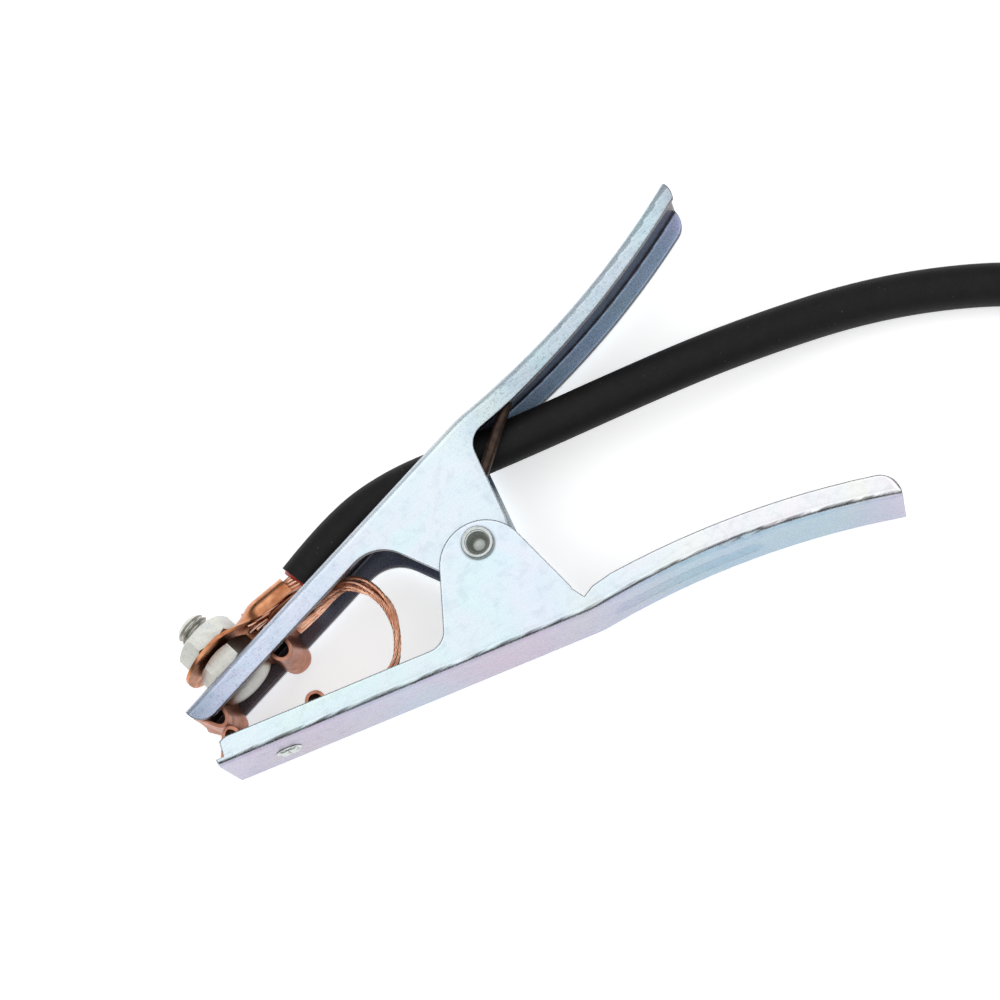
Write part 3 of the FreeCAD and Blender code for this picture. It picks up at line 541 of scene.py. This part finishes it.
def even_shading(obj):
    """Lets broad flat faces set the normals at a bend's edges, so that the bend shades evenly."""
    weighted = obj.modifiers.new("even_shading", "WEIGHTED_NORMAL")
    weighted.weight = 80
    weighted.keep_sharp = True


def finish_node(name, finish, edge=0.0):
    """Gives a CAD node that stays its detailed material, and soft edges."""
    obj = nodes[name]
    obj.data.materials.clear()
    obj.data.materials.append(FINISHES[finish])
    if edge:
        soften(obj, edge)
        even_shading(obj)


# --- the lead, with its stored turns --------------------------------------------------------------
CABLE_ROUTE = [
    (-38.6, 20.1, 13.2), (-24.0, 24.7, 13.2), (-9.0, 25.0, 13.2), (6.0, 21.5, 13.2), (26.0, 17.2, 13.2),
    (46.0, 13.3, 13.1), (66.0, 9.4, 11.9), (84.0, 5.5, 8.6), (101.0, 0.8, 5.9), (117.0, -6.3, 5.1),
    (133.0, -16.2, 5.1), (148.0, -29.5, 5.1),
]
COIL_CENTRE = Vector((214.0, -15.0))
TAIL_ROUTE = [
    (-11.0, -62.9, 16.6), (12.1, -69.5, 15.6), (34.0, -68.0, 13.6), (52.3, -59.9, 12.0),
    (66.7, -46.0, 11.2), (75.5, -28.0, 11.0), (77.4, -10.1, 11.0),
]
PLUG_END = (79.3, 7.8, 11.0)          # inside the relief, where the lead stops
COIL_START_ANGLE = 215.0
COIL_TURN = 1463.0                    # degrees, from the lead's arrival to its leaving
COIL_STEP = 19.0
LIFT_FROM, LIFT_TO = 756.0, 900.0     # where the lower layer climbs onto itself
LOWER_LAYER, UPPER_LAYER = 6.2, 15.8  # the layers' heights
COIL_INNER = 39.6


def coil_point(turned):
    """The stored lead's centre after this many degrees: in along the floor, up, and out over itself."""
    if turned < LIFT_FROM:
        radius, height = 61.0 - 21.4 * turned / LIFT_FROM, LOWER_LAYER
    elif turned < LIFT_TO:
        share = (turned - LIFT_FROM) / (LIFT_TO - LIFT_FROM)
        radius = COIL_INNER
        height = LOWER_LAYER + (UPPER_LAYER - LOWER_LAYER) * share * share * (3 - 2 * share)
    else:
        radius = COIL_INNER + 20.4 * (turned - LIFT_TO) / (COIL_TURN - LIFT_TO)
        height = UPPER_LAYER
    angle = math.radians(COIL_START_ANGLE + turned)
    radius /= math.cos(math.radians(COIL_STEP / 2))
    return (COIL_CENTRE.x + radius * math.cos(angle), COIL_CENTRE.y + radius * math.sin(angle), height)


def make_lead():
    route = [at(*p) for p in CABLE_ROUTE]
    steps = int(COIL_TURN / COIL_STEP)
    route += [at(*coil_point(k * COIL_STEP)) for k in range(steps + 1)]
    route += [at(COIL_CENTRE.x + x, COIL_CENTRE.y + y, z) for x, y, z in [*TAIL_ROUTE, PLUG_END]]
    data = bpy.data.curves.new("lead", "CURVE")
    data.dimensions = "3D"
    data.resolution_u = 8
    data.bevel_depth = CABLE_RADIUS * MM
    data.bevel_resolution = 8
    data.use_fill_caps = True
    add_spline(data, route)
    lead = add_object("lead", data, "jacket")
    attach(lead, UPPER)
    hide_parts("cable", "cable_coil", "cable_tail")
    line = spline_points(route)
    length = sum((b - a).length for a, b in zip(line, line[1:]))
    return lead, line, round(length, 3)


lead, lead_line, lead_length = make_lead()


# --- contact strips -------------------------------------------------------------------------------
# One strip's section, along the jaw from its tip and inward from the jaw's back.
STRIP_FLOOR = 1.95
STRIP_SECTION = [
    (0.3, STRIP_FLOOR), (1.0, 3.4), (2.0, 5.6), (2.9, 7.8), (4.0, 8.85), (5.4, 8.7), (6.6, 7.7),
    (7.1, 6.2), (7.3, 4.4), (7.8, 2.7), (9.2, STRIP_FLOOR), (11.5, STRIP_FLOOR), (16.0, STRIP_FLOOR),
    (20.0, STRIP_FLOOR), (21.9, 2.2), (22.5, 3.6), (22.6, 5.4), (22.8, 7.2), (23.8, 8.6), (25.3, 8.95),
    (26.8, 8.6), (27.8, 7.2), (28.0, 5.4), (28.1, 3.6), (28.8, 2.2), (30.6, STRIP_FLOOR),
    (35.0, STRIP_FLOOR),
]
HUMP_CENTRES = (4.7, 25.3)
HUMP_REACH = 4.2                     # half a hump's length along the jaw


def strip_point(along, inward, across):
    """A section's point at a place across the strip: the humps widen towards the far edge like a trumpet."""
    flare = (0.5 - 0.5 * across) ** 1.6
    waist = 1 - across * across
    for centre in HUMP_CENTRES:
        if abs(along - centre) < HUMP_REACH and inward > STRIP_FLOOR + 0.1:
            widened = (along - centre) * (0.84 + 0.34 * flare - 0.08 * waist)
            along = centre - 0.5 + 0.5 * flare + widened
    inward = STRIP_FLOOR + (inward - STRIP_FLOOR) * (0.94 + 0.09 * flare - 0.10 * waist)
    return along, inward


def make_contact_strip(name, side, body):
    line = spline_points([Vector((a, i, 0)) for a, i in STRIP_SECTION], 6)
    stations = 15
    verts = []
    for j in range(stations):
        across = -1 + 2 * j / (stations - 1)
        z = MID_Z + across * STRIP_WIDTH / 2
        for p in line:
            along, inward = strip_point(p.x, p.y, across)
            verts.append(on_jaw(along, inward, z, side))
    strip = mesh_piece(name + "_strip", verts, grid_faces(stations, len(line)), "contact")
    add_thickness(strip, STRIP_THICKNESS)
    add_bevel(strip, 0.14)
    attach(strip, body)
    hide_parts(name)


make_contact_strip("upper_contact", 1, UPPER)
make_contact_strip("lower_contact", -1, LOWER)


# --- terminal bolt, lug and strands ---------------------------------------------------------------
BACK_OUTWARD = (on_jaw(0, -1) - on_jaw(0, 0)).normalized()
THREAD_PITCH = 1.25
THREAD_DEPTH = 0.62
BOLT_CHAMFER = 1.1


def make_terminal_bolt():
    """A low round-headed bolt; its thread is a ridge that climbs one pitch each turn."""
    verts, faces = [], []
    seat = -(SHEET + STRIP_THICKNESS)
    head = [
        (0.05, seat), (7.0, seat), (7.0, seat - 1.0), (6.7, seat - 1.6), (5.6, seat - 2.2),
        (3.6, seat - 2.6), (0.05, seat - 2.7),
    ]
    origin = on_jaw(BOLT_PLACE, 0)
    add_lathe(verts, faces, head, origin, BACK_OUTWARD, 72)
    sides, steps = 48, 150
    start = len(verts)
    u = BACK_OUTWARD.orthogonal().normalized()
    v = BACK_OUTWARD.cross(u)
    for i in range(steps + 1):
        height = seat + (BOLT_END_LEVEL - seat) * i / steps
        from_end = BOLT_END_LEVEL - height
        for k in range(sides):
            turn = 2 * math.pi * k / sides
            phase = (height / THREAD_PITCH - k / sides) % 1.0
            ridge = 1 - abs(2 * phase - 1) * 1.25
            radius = BOLT_RADIUS - THREAD_DEPTH * (1 - max(0.0, min(1.0, ridge)))
            if from_end < BOLT_CHAMFER:
                radius = min(radius, BOLT_RADIUS - BOLT_CHAMFER + from_end)
            out = u * math.cos(turn) + v * math.sin(turn)
            verts.append(origin + out * radius * MM + BACK_OUTWARD * height * MM)
    faces += grid_faces(steps + 1, sides, start, wrap=True)
    faces.append(tuple(start + k for k in reversed(range(sides))))
    faces.append(tuple(start + steps * sides + k for k in range(sides)))
    bolt = mesh_piece("terminal_bolt_threaded", verts, faces, "fastener", 50)
    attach(bolt, UPPER)
    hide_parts("terminal_bolt")


make_terminal_bolt()
finish_node("inner_nut", "fastener", 0.2)
finish_node("outer_nut", "fastener", 0.2)

# The lug is one sheet: flat round palm, then its sides roll up into the barrel on the jaw's side.
# Each station: along the jaw, level of the sheet's middle above the back, half the flat width, bend 0 to 1.
LUG_STATIONS = [
    (4.6, 6.1, 1.6, 0.0), (4.9, 6.1, 3.6, 0.0), (6.0, 6.1, 5.6, 0.0), (8.0, 6.1, 7.7, 0.0),
    (10.6, 6.1, 9.3, 0.0), (13.6, 6.1, 9.9, 0.0), (16.6, 6.1, 9.8, 0.0), (19.0, 6.3, 9.2, 0.04),
    (21.2, 6.7, 8.6, 0.16), (23.4, 7.3, 8.4, 0.38), (25.2, 7.9, 8.7, 0.66), (26.8, 8.35, 9.3, 0.90),
    (28.4, 8.25, 9.6, 0.99), (31.0, 7.85, 9.65, 1.0), (34.2, 7.4, 9.65, 1.0), (36.2, 7.1, 9.65, 1.0),
]
LUG_ROLL_RADIUS = 3.15
LUG_SHEET = 0.9
LUG_SEAM_SHIFT = 3.3                 # the barrel's seam lies this far round from the jaw's side


def make_cable_lug():
    verts = []
    across_count = 33
    lines = spline_points([Vector((a, level, w)) for a, level, w, b in LUG_STATIONS], 4)
    bends = spline_points([Vector((a, b, 0)) for a, level, w, b in LUG_STATIONS], 4)
    for p, b in zip(lines, bends):
        along, level, half_width, bend = p.x, p.y, p.z, min(1.0, max(0.0, b.y))
        for j in range(across_count):
            flat = half_width * (-1 + 2 * j / (across_count - 1)) - LUG_SEAM_SHIFT * bend
            if bend < 0.01:
                over, down = flat, 0.0
            else:
                radius = LUG_ROLL_RADIUS / bend
                over = radius * math.sin(flat / radius)
                down = radius * (1 - math.cos(flat / radius))
            verts.append(on_jaw(along, -(level - down), MID_Z + over))
    lug = mesh_piece("cable_lug_sheet", verts, grid_faces(len(lines), across_count), "lug")
    add_thickness(lug, LUG_SHEET)
    add_bevel(lug, 0.16)
    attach(lug, UPPER)
    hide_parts("cable_lug")


make_cable_lug()


STRAND_RADIUS = 0.42
STRAND_RINGS = [(1, 0.0), (6, 0.82), (11, 1.52), (16, 2.22)]     # how many wires, at what distance out
STRAND_STATIONS = 21
SEPARATOR_JAGS = 48


def make_conductor():
    """Fine copper wires laid through the barrel, fanning a little at their cut ends."""
    verts, faces = [], []
    direction = (BARREL_END - BARREL_START).normalized()
    sheath = Vector(CABLE_ROUTE[0][:2])
    for count, ring in STRAND_RINGS:
        for k in range(count):
            angle = 2 * math.pi * (k + random.random() * 0.3) / count
            back_cut = random.uniform(1.6, 4.6)
            fan = random.uniform(-0.9, 1.2)
            line = []
            for i in range(STRAND_STATIONS):
                share = i / (STRAND_STATIONS - 1)
                centre = BARREL_START.lerp(sheath, share) - direction * back_cut * (1 - share)
                spin = angle + 1.1 * share
                loose = ring * (0.98 + 0.02 * math.sin(5 * share + k)) + fan * max(0.0, 1 - 4 * share) ** 2
                y = centre.y + loose * math.cos(spin)
                line.append(at(centre.x, y, MID_Z + loose * math.sin(spin)))
            add_tube(verts, faces, line, STRAND_RADIUS * MM, 8)
    strands = mesh_piece("conductor_strands", verts, faces, "strand")
    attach(strands, UPPER)
    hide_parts("conductor")


make_conductor()


def make_separator():
    """The torn edge of the red film between the sheath and the copper."""
    verts, faces = [], []
    start, ahead = at(*CABLE_ROUTE[0]), (at(*CABLE_ROUTE[1]) - at(*CABLE_ROUTE[0])).normalized()
    profile = [(2.9, 0.4), (4.2, 0.4), (4.2, 0.0), (3.9, -0.35), (3.4, -0.5), (3.0, -0.4)]
    jags = [random.uniform(-0.3, 0.3) for _ in range(SEPARATOR_JAGS)]

    def torn(turn, radius, height):
        jag = jags[round(turn / (2 * math.pi) * SEPARATOR_JAGS) % SEPARATOR_JAGS]
        return radius + 0.1 * jag, height + (jag if height < 0 else 0.0)

    add_lathe(verts, faces, profile, start, ahead, SEPARATOR_JAGS, torn)
    ring = mesh_piece("core_separator", verts, faces, "separator", 60)
    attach(ring, UPPER)
    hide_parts("core_insulation")


make_separator()


# --- pivot rivet and contact rivet ----------------------------------------------------------------
def make_pivot_rivet():
    """A rivet with rolled rims, a stepped lip and a cup with a slightly raised floor at each side."""
    verts, faces = [], []
    half = 12.05
    upper_half = [
        (3.0, 0.0), (3.0, half), (3.72, half), (3.8, half + 0.35), (3.76, half + 0.8), (3.5, half + 1.1),
        (3.15, half + 1.15), (2.86, half + 1.0), (2.78, half + 0.72), (2.5, half + 0.6), (2.3, half + 0.35),
        (2.15, half - 0.3), (1.95, half - 0.9), (1.5, half - 1.35), (0.9, half - 1.2), (0.05, half - 1.0),
    ]
    lower_half = [(r, -h) for r, h in reversed(upper_half)]
    add_lathe(verts, faces, upper_half + lower_half[:-1], at(0, 0, MID_Z), Vector((0, 0, 1)), 72)
    rivet = mesh_piece("pivot_rivet_rolled", verts, faces, "rivet", 40)
    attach(rivet, UPPER)
    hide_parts("pivot_rivet")


def make_contact_rivet():
    """A round-headed rivet inside, its tail set outside into four blunt bumps on a low ring."""
    verts, faces = [], []
    seat = SHEET + STRIP_THICKNESS
    profile = [
        (0.05, -seat - 1.6), (1.8, -seat - 1.5), (3.2, -seat - 1.0), (3.9, -seat - 0.3), (3.95, -seat),
        (2.0, -seat), (2.0, 0.0), (3.0, 0.0), (3.05, 0.14), (2.8, 0.26), (0.05, 0.22),
    ]
    bump = [(0.05, 0.0), (1.22, 0.0), (1.2, 0.3), (1.0, 0.62), (0.6, 0.78), (0.05, 0.82)]
    centre = on_jaw(BOLT_PLACE, 0, side=-1)
    outward = (on_jaw(0, -1, side=-1) - on_jaw(0, 0, side=-1)).normalized()
    along = (on_jaw(1, 0, side=-1) - on_jaw(0, 0, side=-1)).normalized()
    add_lathe(verts, faces, profile, centre, outward, 72)
    for quarter in range(4):
        turn = math.pi / 4 + quarter * math.pi / 2
        aside = along * math.cos(turn) + Vector((0, 0, 1)) * math.sin(turn)
        add_lathe(verts, faces, bump, centre + aside * 1.5 * MM, outward, 24)
    rivet = mesh_piece("contact_rivet_set", verts, faces, "rivet", 50)
    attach(rivet, LOWER)
    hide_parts("contact_rivet")


make_pivot_rivet()
make_contact_rivet()


# --- torsion spring -------------------------------------------------------------------------------
SPRING_WIRE = 1.3                    # the wire's radius
SPRING_MEAN = 5.2                    # the coil's radius at the middle of the wire
SPRING_LEG_Z = 6.8                   # from the middle of the clamp to either leg
SPRING_WHOLE_TURNS = 5
SPRING_STEPS = 120                   # points of the coil
SPRING_LEGS = {1: (math.radians(37.6), 35.4), -1: (math.radians(47.0), 28.5)}   # side: angle, length
SPRING_FOOT_ANGLE = math.radians(8.4)
SPRING_FOOT_LENGTH = 8.0


def leg_points(side, height):
    """Root, knee and foot of one leg, as the CAD's spring has them."""
    angle, length = SPRING_LEGS[side]
    along = Vector((math.cos(angle), math.sin(angle)))
    out = Vector((-along.y, along.x))
    root = out * SPRING_MEAN
    knee = root + along * length
    foot = knee + Vector((math.cos(SPRING_FOOT_ANGLE), math.sin(SPRING_FOOT_ANGLE))) * SPRING_FOOT_LENGTH
    near_knee, past_knee = knee - along * 2.5, knee + (foot - knee).normalized() * 2.5
    flat = [root, root.lerp(knee, 0.35), root.lerp(knee, 0.7), near_knee, knee, past_knee, foot]
    return [at(p.x, p.y * side, height) for p in flat]


def make_torsion_spring():
    """Touching turns from one leg's root round to the other's."""
    top, bottom = MID_Z + SPRING_LEG_Z, MID_Z - SPRING_LEG_Z
    root_angle = math.pi / 2 + SPRING_LEGS[1][0]
    last_angle = math.pi * 3 / 2 - SPRING_LEGS[-1][0]
    sweep = 2 * math.pi * SPRING_WHOLE_TURNS + last_angle - root_angle
    coil = []
    for i in range(1, SPRING_STEPS):
        share = i / SPRING_STEPS
        angle = root_angle + sweep * share
        height = top + (bottom - top) * share
        coil.append(at(SPRING_MEAN * math.cos(angle), SPRING_MEAN * math.sin(angle), height))
    route = list(reversed(leg_points(1, top))) + coil + leg_points(-1, bottom)
    verts, faces = [], []
    add_tube(verts, faces, spline_points(route, 4), SPRING_WIRE * MM, 14)
    spring = mesh_piece("torsion_spring_wire", verts, faces, "spring", 60)
    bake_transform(spring)
    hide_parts("torsion_spring")


make_torsion_spring()


# --- shunt braid ----------------------------------------------------------------------------------
SHUNT_ROUTE = [
    (-45.0, 10.5, 14.6), (-36.5, 11.6, 15.4), (-29.9, 13.0, 16.0), (-25.9, 8.2, 16.2), (-24.7, 2.0, 16.2),
    (-26.6, -4.4, 15.8), (-32.0, -11.2, 15.2), (-42.0, -11.6, 14.4),
]


SHUNT_BUNDLES = 6
SHUNT_WIRES = 5                      # in each bundle
SHUNT_WIRE_RADIUS = 0.17
SHUNT_BUNDLE_RADIUS = 0.29


def make_shunt():
    """Six twisted bundles of fine wire, spread out over the top of the loop and gathered at its ends."""
    line = spline_points([at(*p) for p in SHUNT_ROUTE], 10)
    frames = frames_along(line)
    verts, faces = [], []
    for b in range(SHUNT_BUNDLES):
        sway = random.uniform(0.7, 1.3)
        for w in range(SHUNT_WIRES):
            wire = []
            for i, (point, ahead, u, v) in enumerate(frames):
                share = i / (len(frames) - 1)
                spread = 0.50 + 1.05 * math.exp(-((share - 0.34) / 0.19) ** 2)
                lay = 2 * math.pi * (b / SHUNT_BUNDLES + 0.9 * share) + 0.5 * math.sin(7 * share * sway)
                in_plane = Vector((-ahead.y, ahead.x, 0)).normalized()
                centre = in_plane * math.cos(lay) * spread * sway + Vector((0, 0, 0.75 * math.sin(lay)))
                turn = 2 * math.pi * (w / SHUNT_WIRES + 6.5 * share) + b
                offset = (u * math.cos(turn) + v * math.sin(turn)) * SHUNT_BUNDLE_RADIUS
                wire.append(point + (centre + offset) * MM)
            add_tube(verts, faces, wire, SHUNT_WIRE_RADIUS * MM, 7)
    braid = mesh_piece("shunt_braid_wires", verts, faces, "strand")
    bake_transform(braid)
    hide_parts("shunt_braid")


make_shunt()


# --- levers and plug: CAD shapes with their finishes ----------------------------------------------
finish_node("upper_lever", "upper_plate", 0.3)
finish_node("lower_lever", "lower_plate", 0.3)
finish_node("plug_relief", "plug", 0.35)
finish_node("plug_sleeve", "plug", 0.3)
finish_node("plug_pin", "brass", 0.25)


# --- straps round the stored turns ----------------------------------------------------------------
TIE_ANGLES = (75, 300)
TIE_WIDTH = 7.0
TIE_THICKNESS = 0.7
TIE_INNER, TIE_OUTER = 34.2, 66.2    # from the coil's centre
TIE_LOW, TIE_HIGH = 0.7, 21.3        # from the floor


def make_tie(number, angle):
    """A strap drawn round the bundle, lapped over itself on top with its tail standing off a little."""
    section = [
        (47.0, TIE_HIGH + 0.9), (43.0, TIE_HIGH + 0.5), (37.5, TIE_HIGH), (34.6, TIE_HIGH - 2.6),
        (TIE_INNER, 15.8), (TIE_INNER + 0.4, 11.0), (TIE_INNER, 6.2),
        (34.8, TIE_LOW + 1.8), (38.0, TIE_LOW), (50.0, TIE_LOW), (62.4, TIE_LOW), (65.6, TIE_LOW + 1.8),
        (TIE_OUTER, 6.2), (TIE_OUTER - 0.5, 11.0), (TIE_OUTER - 0.6, 15.8),
        (64.4, TIE_HIGH - 2.4), (61.0, TIE_HIGH), (54.0, TIE_HIGH + 0.1), (46.0, TIE_HIGH + 0.1),
        (40.0, TIE_HIGH),
    ]
    line = spline_points([Vector((r, z, 0)) for r, z in section], 6)
    out = Vector((math.cos(math.radians(angle)), math.sin(math.radians(angle)), 0))
    side = Vector((-out.y, out.x, 0))
    centre = at(COIL_CENTRE.x, COIL_CENTRE.y, 0)
    across_count = 9
    verts = []
    for j in range(across_count):
        across = -1 + 2 * j / (across_count - 1)
        for i, p in enumerate(line):
            wave = 0.12 * math.sin(0.9 * i + 2 * across + number)
            verts.append(centre + out * p.x * MM + Vector((0, 0, (p.y + 0.15 * across ** 2) * MM))
                         + side * (across * TIE_WIDTH / 2 + wave) * MM)
    faces = grid_faces(across_count, len(line))
    strap = mesh_piece(f"coil_strap_{number}", verts, faces, "tie")
    add_thickness(strap, TIE_THICKNESS)
    add_bevel(strap, 0.15)
    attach(strap, UPPER)
    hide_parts(f"coil_tie_{number}")
    return strap


straps = [make_tie(number, angle) for number, angle in enumerate(TIE_ANGLES, start=1)]


# --- floor and light ------------------------------------------------------------------------------
FLOOR_HALF_WIDTH = 6.0               # metres
# The room's grey: 0 is the horizon and everything below it, 1 is straight up.
ROOM_GREYS = [(0.0, 0.25), (0.03, 0.05), (0.40, 0.09), (0.54, 0.55), (0.68, 1.30), (0.88, 1.20), (1.0, 0.86)]


def make_floor():
    mesh = bpy.data.meshes.new("floor")
    half = FLOOR_HALF_WIDTH
    corners = [(-half, -half, 0), (half, -half, 0), (half, half, 0), (-half, half, 0)]
    mesh.from_pydata(corners, [], [(0, 1, 2, 3)])
    floor = bpy.data.objects.new("floor", mesh)
    scene.collection.objects.link(floor)
    f = Finish("floor_white", Roughness=0.9, Specular_IOR_Level=0.1, Emission_Strength=0.50,
               Emission_Color=(1.0, 1.0, 1.0, 1.0))
    f.set(Base_Color=f.ramp(f.noise(3.0), [(0.3, (0.90, 0.90, 0.90)), (0.7, (0.92, 0.92, 0.92))]))
    mesh.materials.append(f.material)


def make_world():
    """A white room, brightest half way up, with a dark band above the horizon."""
    world = bpy.data.worlds.new("studio")
    scene.world = world
    world.use_nodes = True
    tree = world.node_tree
    background = tree.nodes["Background"]
    coords = tree.nodes.new("ShaderNodeTexCoord")
    split = tree.nodes.new("ShaderNodeSeparateXYZ")
    ramp = tree.nodes.new("ShaderNodeValToRGB")
    while len(ramp.color_ramp.elements) < len(ROOM_GREYS):
        ramp.color_ramp.elements.new(0.5)
    for element, (place, grey) in zip(ramp.color_ramp.elements, ROOM_GREYS):
        element.position = place
        element.color = (grey, grey * 1.005, grey * 1.015, 1.0)
    tree.links.new(coords.outputs["Generated"], split.inputs["Vector"])
    tree.links.new(split.outputs["Z"], ramp.inputs["Fac"])
    tree.links.new(ramp.outputs["Color"], background.inputs["Color"])


make_floor()
make_world()
scene.view_settings.view_transform = "Standard"
